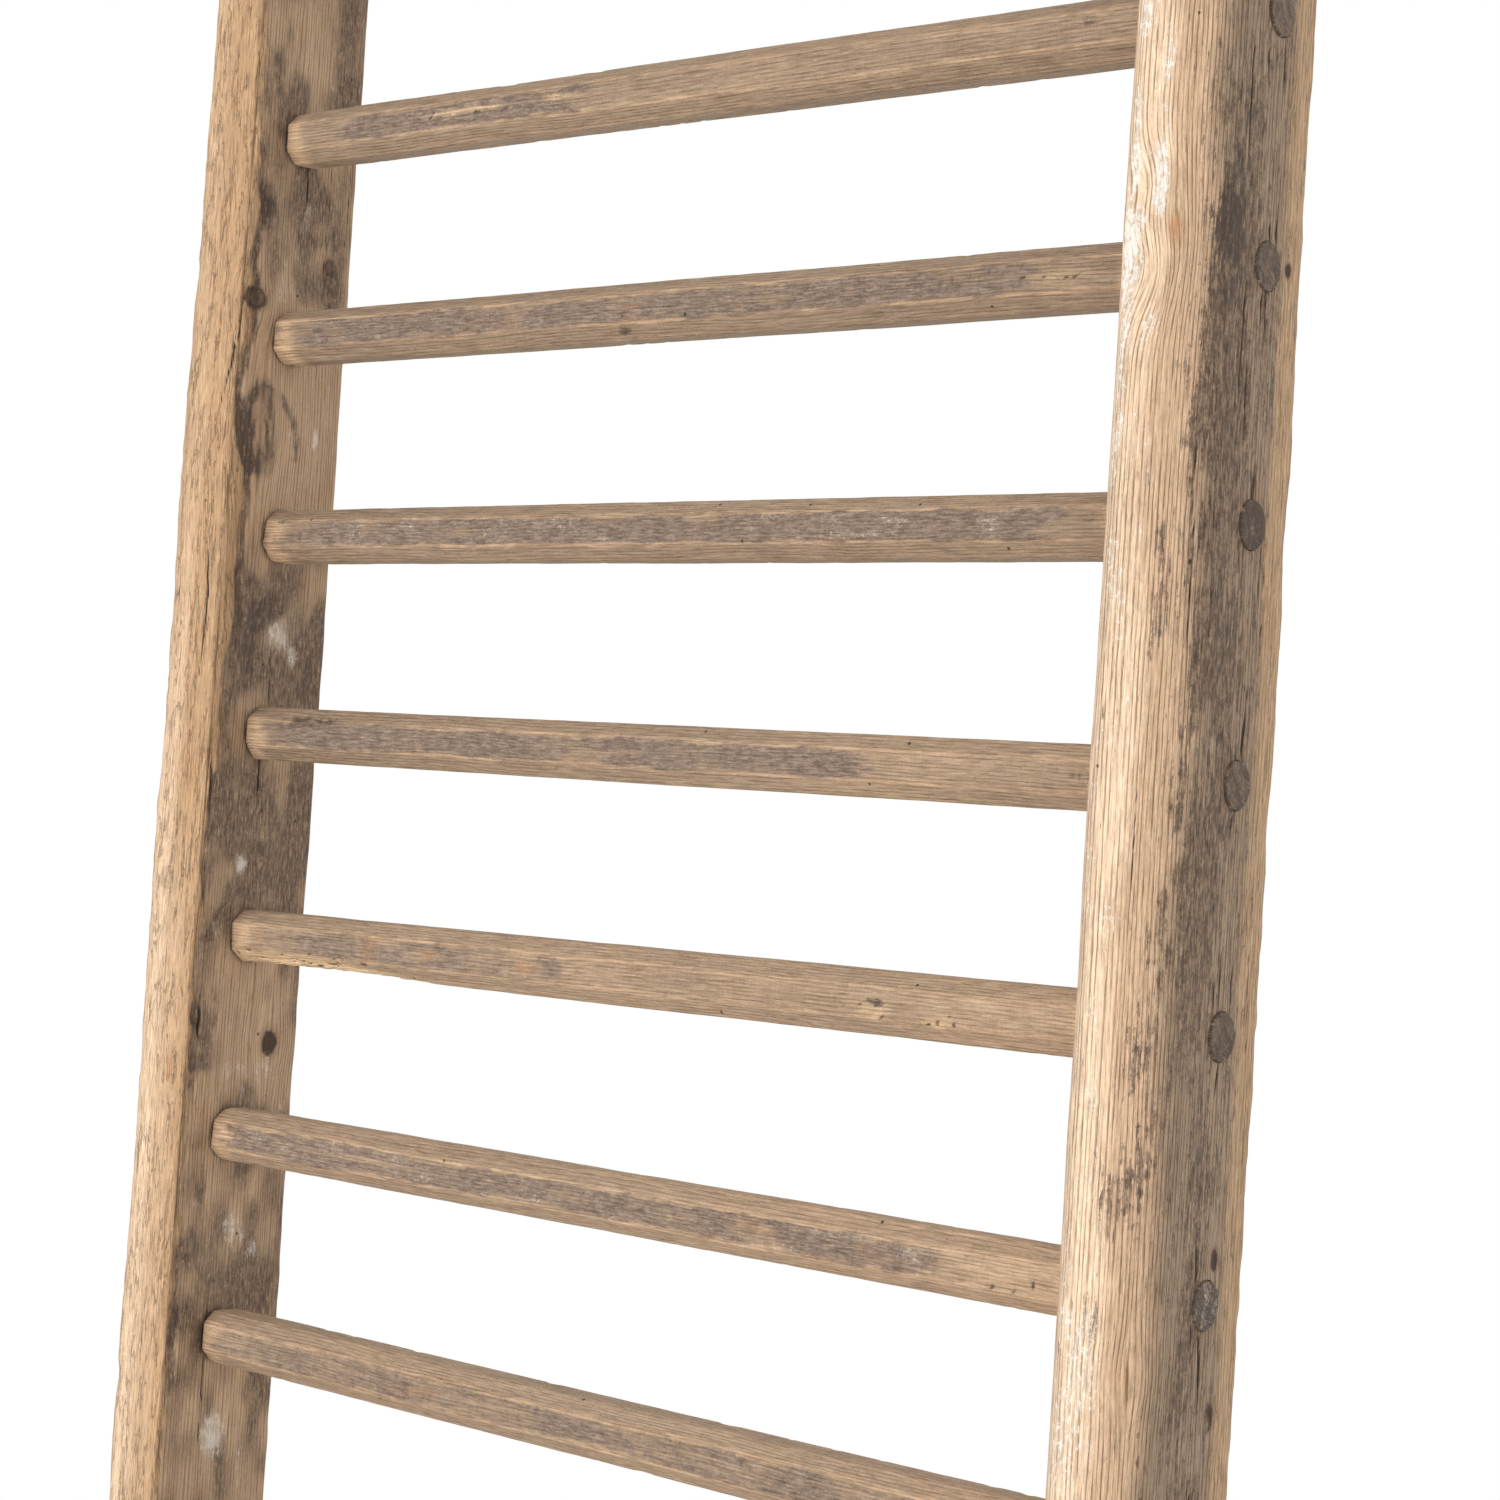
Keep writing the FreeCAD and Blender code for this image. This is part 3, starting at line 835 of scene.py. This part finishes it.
class Graph:
    """A short way to write a material's nodes."""

    def __init__(self, name):
        self.material = bpy.data.materials.new(name)
        self.material.use_nodes = True
        self.tree = self.material.node_tree
        self.tree.nodes.clear()

    def node(self, kind, inputs=(), **settings):
        node = self.tree.nodes.new("ShaderNode" + kind)
        for setting, value in settings.items():
            setattr(node, setting, value)
        for name, value in dict(inputs).items():
            if isinstance(value, bpy.types.NodeSocket):
                self.tree.links.new(value, node.inputs[name])
            else:
                node.inputs[name].default_value = value
        return node

    def surface(self, **inputs):
        """Ends the graph in a shader. Inputs are named as its sockets are, with _ for a space."""
        inputs = {name.replace("_", " "): value for name, value in inputs.items()}
        shader = self.node("BsdfPrincipled", inputs)
        self.node("OutputMaterial", {"Surface": shader.outputs[0]})
        return self.material

    def math(self, operation, a, b=0.0):
        return self.node("Math", {0: a, 1: b}, operation=operation).outputs[0]

    def add(self, *terms):
        return functools.reduce(functools.partial(self.math, "ADD"), terms)

    def times(self, *terms):
        return functools.reduce(functools.partial(self.math, "MULTIPLY"), terms)

    def without(self, value):
        return self.math("SUBTRACT", 1.0, value)

    def centred(self, value, strength):
        """A noise's value as plus or minus about half of strength."""
        return self.times(self.math("SUBTRACT", value, 0.5), strength)

    def step(self, value, start, end):
        inputs = {"Value": value, "From Min": start, "From Max": end}
        return self.node("MapRange", inputs, interpolation_type="SMOOTHSTEP").outputs[0]

    def colour(self, red, green, blue):
        return (*linear(red, green, blue), 1.0)

    def place(self):
        """Where a point lies in its object, in millimetres."""
        return self.stretch(self.node("TexCoord").outputs["Object"], (MM, MM, MM))

    def mix(self, share, a, b, blend="MIX"):
        settings = {"data_type": "RGBA", "blend_type": blend, "clamp_factor": True}
        return self.node("Mix", {0: share, 6: a, 7: b}, **settings).outputs[2]

    def attribute(self, name, output):
        return self.node("Attribute", attribute_name=name).outputs[output]

    def stretch(self, vector, sizes):
        """A vector divided by sizes, axis by axis."""
        factors = tuple(1 / size for size in sizes)
        return self.node("VectorMath", {0: vector, 1: factors}, operation="MULTIPLY").outputs[0]

    def noise(self, vector, sizes, detail=3.0, roughness=0.55):
        vector = self.stretch(vector, sizes)
        inputs = {"Vector": vector, "Scale": 1.0, "Detail": detail, "Roughness": roughness}
        return self.node("TexNoise", inputs).outputs[0]

    def separate(self, vector):
        return self.node("SeparateXYZ", {0: vector}).outputs


def growth_rings(g, grain, pitch):
    """1 on the thin dark line that ends each year's growth, broken here and there along its length."""
    drift = g.times(g.noise(grain, (16, 520, 1), 1.0), 2.4)
    waver = g.times(g.noise(grain, (2.4, 24, 1)), 0.42)
    phase = g.add(g.math("DIVIDE", g.separate(grain)[0], pitch), drift, waver)
    share = g.math("FRACT", phase)
    broken = g.step(g.noise(grain, (3.4, 46, 1)), 0.30, 0.58)
    return g.times(g.step(share, 0.52, 0.84), g.without(g.step(share, 0.9, 1.0)), broken)


def paint_knots(g, wood, grain, speckle, strokes):
    """Knots with a tan heart and broken dark rings; the darkest ones are dark all through."""
    across, along, darkness = g.separate(g.attribute("knot", "Vector"))
    radius = g.math("POWER", g.add(g.times(across, across), g.times(along, along)), 0.5)
    radius = g.add(radius, g.centred(speckle, 1.0), g.centred(strokes, 0.35))
    inside = g.without(g.step(radius, 0.80, 1.12))
    halo = g.without(g.step(radius, 0.9, 1.8))
    ring = g.step(g.add(radius, g.centred(g.noise(grain, (9, 26, 1)), 1.2)), 0.5, 0.8)
    crack = g.without(g.step(g.math("ABSOLUTE", g.add(across, g.centred(strokes, 0.5))), 0.03, 0.14))
    rim = g.math("MAXIMUM", g.math("MAXIMUM", ring, g.times(crack, 0.7)), g.step(darkness, 0.8, 1.0))
    heart = g.mix(rim, g.colour(150, 117, 88), g.colour(76, 59, 50))
    wood = g.mix(g.times(halo, darkness, 0.45), wood, g.colour(122, 97, 78))
    return g.mix(g.times(inside, darkness), wood, heart)


def worm_holes(g, place):
    """1 inside round holes of about 2 mm, some of them missing."""
    cells = g.node("TexVoronoi", {"Vector": g.stretch(place, (23, 23, 31)), "Scale": 1.0})
    hole = g.without(g.step(cells.outputs["Distance"], 0.032, 0.05))
    return g.times(hole, g.step(g.separate(cells.outputs["Color"])[0], 0.4, 0.45))


# What the darkest and the palest of the wood is multiplied by, for its grain, its weathering and its dirt.
TINTS = ((0.40, 0.32, 0.26, 1), (1.26, 1.27, 1.27, 1))
WEATHERED = ((0.74, 0.73, 0.72, 1), (1.18, 1.18, 1.18, 1))
MOTTLES = ((0.58, 0.56, 0.54, 1), (1.48, 1.48, 1.5, 1))


def timber(name, rings_apart, ring_depth, soil, soil_edge, mottling, speckling, streaking, fleck_size,
           flake_size, flake_share, hatching, gloss):
    """Weathered wood. The grain, its knots, the dirt, the painted shade and the splits follow the attributes
    of the mesh.
    """
    g = Graph(name)
    place = g.place()
    grain = g.attribute("grain", "Vector")
    rough = g.attribute("rough", "Fac")
    rust = g.attribute("marks", "Alpha")
    dirt, lime, dark = g.separate(g.attribute("marks", "Color"))

    def fibres(across, along, detail=3.0, roughness=0.55):
        return g.noise(grain, (across, along, 1), detail, roughness)

    def multiplied(colour, share, tones):
        return g.mix(1.0, colour, g.mix(share, *tones), "MULTIPLY")

    # How ragged stains and wear look: less so where the wood is smooth.
    fray = g.add(0.4, g.times(g.step(rough, 0.0, 0.12), 0.6))
    rings = growth_rings(g, grain, rings_apart)
    strands = fibres(0.9, 30, 4.0, 0.65)
    strokes = fibres(3.2, 50, 4.0, 0.7)
    streaks = fibres(1.7, 11, 4.0, 0.65)
    coarse = fibres(1.9, 15, 5.0, 0.7)
    crumbs = fibres(1.5, 2.6, 4.0, 0.75)
    ridges = fibres(4.5, 38, 3.0, 0.6)
    speckle = g.noise(place, (6, 6, 9), 6.0, 0.72)
    # Cracks run where a noise crosses its middle value.
    off_middle = g.math("ABSOLUTE", g.math("SUBTRACT", fibres(6, 42, 4.0, 0.62), 0.5))
    cracks = g.times(g.without(g.step(off_middle, 0.0, 0.03)), g.step(fibres(7, 60), 0.42, 0.56))
    pores = g.step(fibres(1.1, 6, 2.0), 0.62, 0.69)

    light = g.add(
        0.66,
        g.times(rings, g.without(rough), -ring_depth),
        g.centred(fibres(13, 380, 2.0), 0.5),
        g.times(g.centred(strands, 1.1), g.add(0.3, g.times(fray, 0.7))),
        g.times(g.centred(coarse, 0.5), rough),
        g.times(cracks, g.add(rough, 0.3), -0.22),
        g.times(pores, g.without(g.times(rough, 0.8)), -0.25),
        g.centred(fibres(10, 1.2, 3.0, 0.6), hatching),
    )
    wood = multiplied(g.attribute("base", "Color"), light, TINTS)
    wood = paint_knots(g, wood, grain, speckle, strokes)
    rusty = g.step(g.add(rust, g.centred(speckle, 0.6), g.centred(streaks, 0.5)), 0.2, 0.85)
    wood = g.mix(g.times(rusty, 0.7), wood, g.colour(178, 126, 84))

    soil_share = g.step(g.add(streaks, g.centred(crumbs, 0.5)), 0.34, 0.68)
    soil_shade = g.mix(soil_share, *[g.colour(*shade) for shade in soil])
    mottle = g.step(fibres(4, 10, 6.0, 0.8), 0.4, 0.6)
    soil_shade = g.mix(mottling, soil_shade, multiplied(soil_shade, mottle, MOTTLES))
    uneven = g.add(g.centred(speckle, speckling), g.centred(strokes, streaking), g.centred(streaks, 0.8))
    flecks = g.step(fibres(*fleck_size, 5.0, 0.75), 0.54, 0.62)
    soiled = g.step(g.add(dirt, g.times(fray, uneven)), *soil_edge)
    soiled = g.times(soiled, g.math("SUBTRACT", 0.94, g.times(flecks, 0.75)))
    wood = g.mix(soiled, wood, soil_shade)
    veil = g.step(g.add(lime, g.centred(strokes, 1.5), g.centred(crumbs, 0.9)), 0.25, 1.1)
    wood = g.mix(g.times(veil, 0.55), wood, g.colour(208, 194, 178))
    flakes = g.step(g.add(fibres(*flake_size, 5.0, 0.75), g.centred(lime, 0.12)), 0.53, 0.60)
    flakes = g.times(flakes, g.step(lime, 0.05, 0.6), flake_share)
    wood = g.mix(flakes, wood, g.colour(238, 231, 220))
    weather = g.step(fibres(1.4, 17, 5.0, 0.75), 0.32, 0.68)
    wood = g.mix(fray, wood, multiplied(wood, weather, WEATHERED))
    broken = g.add(g.centred(speckle, 3.4), g.centred(strokes, 2.2), g.centred(crumbs, 1.6))
    broken = g.add(1.0, g.times(fray, broken))
    # The dark channel is dark stains together with painted shade, such as under the left pole's arris and
    # where the rungs meet the poles.
    stain_and_shade = g.step(g.add(g.times(dark, broken), g.centred(speckle, 0.3)), 0.22, 0.85)
    stain_and_shade = g.times(stain_and_shade, g.math("SUBTRACT", 0.88, g.times(flecks, 0.5)))
    wood = g.mix(stain_and_shade, wood, g.colour(74, 61, 53))
    # Painted shade: open splits and worm holes are painted near black, for the shade inside them.
    hole = worm_holes(g, place)
    split = g.step(g.attribute("opened", "Fac"), 0.25, 0.8)
    wood = g.mix(g.math("MAXIMUM", split, g.times(hole, 0.85)), wood, g.colour(50, 40, 33))

    height = g.add(
        g.times(rings, 0.35),
        g.times(strands, 0.3),
        g.times(streaks, 0.45),
        g.times(crumbs, 0.25),
        g.times(coarse, rough, 1.1),
        g.times(ridges, rough, 3.2),
        g.times(cracks, rough, -0.9),
        g.times(hole, -1.0),
    )
    bump = g.node("Bump", {"Height": height, "Distance": MM, "Strength": 1.0})
    sheen = g.math("SUBTRACT", gloss, g.times(soiled, 0.12))
    return g.surface(Base_Color=wood, Roughness=sheen, Normal=bump.outputs[0], Specular_IOR_Level=0.35)


RAIL_SOIL = ((82, 66, 55), (136, 114, 94))
SLOW_GROWN = {
    "rings_apart": 2.9, "ring_depth": 0.45, "soil": RAIL_SOIL, "soil_edge": (0.10, 0.95), "mottling": 0.5,
    "speckling": 1.0, "streaking": 0.9, "fleck_size": (1.6, 10.0), "flake_size": (5.0, 9.0),
    "flake_share": 0.35, "hatching": 0.15, "gloss": 0.82,
}
FAST_GROWN = {
    "rings_apart": 3.5, "ring_depth": 0.68, "soil": RAIL_SOIL, "soil_edge": (0.30, 0.66), "mottling": 1.0,
    "speckling": 1.7, "streaking": 2.4, "fleck_size": (2.6, 15.0), "flake_size": (3.0, 5.0),
    "flake_share": 0.75, "hatching": 0.0, "gloss": 0.82,
}
OAK = {
    "rings_apart": 2.6, "ring_depth": 0.3, "soil": ((100, 83, 72), (143, 123, 108)), "soil_edge": (0.2, 0.85),
    "mottling": 0.35, "speckling": 1.1, "streaking": 1.5, "fleck_size": (1.3, 10.0), "flake_size": (1.8, 3.2),
    "flake_share": 0.6, "hatching": 0.35, "gloss": 0.74,
}


# ---- stage


CAMERA_PLACE = Vector((1.278, -1.469, 1.155))
CAMERA_TURN = 38.96  # to the left of straight at the rack's front
CAMERA_TILT = 1.55  # upwards from square to the rack, which leans back by more than the lens looks down
CAMERA_ROLL = 3.80
CAMERA_LENS = 69.55  # mm
SENSOR_WIDTH = 36  # mm
WINDOW_PLACE = Vector((-1.5, -3.8, 1.1))
WINDOW_TARGET = Vector((0, 0, 1.2))
WINDOW_SIZE = 2.2
WINDOW_POWER = 88
FLOOR_RADIUS = 2.5
FLOOR_GAP = 0.0005  # between the floor and the rails' feet


def stand_camera():
    camera = bpy.data.objects.new("camera", bpy.data.cameras.new("camera"))
    camera.data.lens = CAMERA_LENS
    camera.data.sensor_width = SENSOR_WIDTH
    turn = Matrix.Rotation(math.radians(CAMERA_TURN), 4, "Z")
    tilt = Matrix.Rotation(math.radians(90 + CAMERA_TILT), 4, "X")
    roll = Matrix.Rotation(math.radians(CAMERA_ROLL), 4, "Z")
    camera.matrix_world = Matrix.Translation(CAMERA_PLACE) @ turn @ tilt @ roll
    bpy.context.scene.collection.objects.link(camera)
    bpy.context.scene.camera = camera


def light_studio():
    """An even white surround, and a soft lamp in front of the rack and to its left."""
    world = bpy.data.worlds.new("studio")
    bpy.context.scene.world = world
    world.use_nodes = True
    sky = world.node_tree.nodes["Background"]
    sky.inputs["Color"].default_value = (1.0, 1.0, 1.0, 1)
    sky.inputs["Strength"].default_value = 1.0
    bpy.context.scene.view_settings.view_transform = "Standard"
    lamp = bpy.data.lights.new("window", "AREA")
    lamp.shape = "DISK"
    lamp.size = WINDOW_SIZE
    lamp.energy = WINDOW_POWER
    light = bpy.data.objects.new("window", lamp)
    light.location = WINDOW_PLACE
    light.rotation_euler = (WINDOW_TARGET - WINDOW_PLACE).to_track_quat("-Z", "Y").to_euler()
    bpy.context.scene.collection.objects.link(light)


def lay_floor():
    """A plain pale disc, wide enough to catch the rack's shadow."""
    g = Graph("pale_floor")
    pale = g.mix(g.noise(g.place(), (60, 60, 60), 4.0), (0.80, 0.79, 0.77, 1), (0.84, 0.83, 0.81, 1))
    mesh = bpy.data.meshes.new("floor")
    form = bmesh.new()
    bmesh.ops.create_circle(form, cap_ends=True, segments=96, radius=FLOOR_RADIUS)
    form.to_mesh(mesh)
    form.free()
    mesh.materials.append(g.surface(Base_Color=pale, Roughness=0.9))
    floor = bpy.data.objects.new("floor", mesh)
    floor.location.z = -FLOOR_GAP
    bpy.context.scene.collection.objects.link(floor)


def main():
    stand_camera()
    light_studio()
    lay_floor()
    slow_grown = timber("slow_grown_softwood", **SLOW_GROWN)
    fast_grown = timber("fast_grown_softwood", **FAST_GROWN)
    oak = timber("hewn_oak", **OAK)
    left = Rail("left_rail")
    right = Rail("right_rail")
    left_knots = LEFT_KNOTS + scattered_knots(left, 3, 640, 1760)
    right_knots = RIGHT_KNOTS + scattered_knots(right, 4, 780, 1680)
    build_rail(left, left_rail_wood, left_knots, (90, 140), slow_grown)
    build_rail(right, right_rail_wood, right_knots, (-20, 60), fast_grown)
    for node in RUNGS:
        build_rung(node, oak)


main()
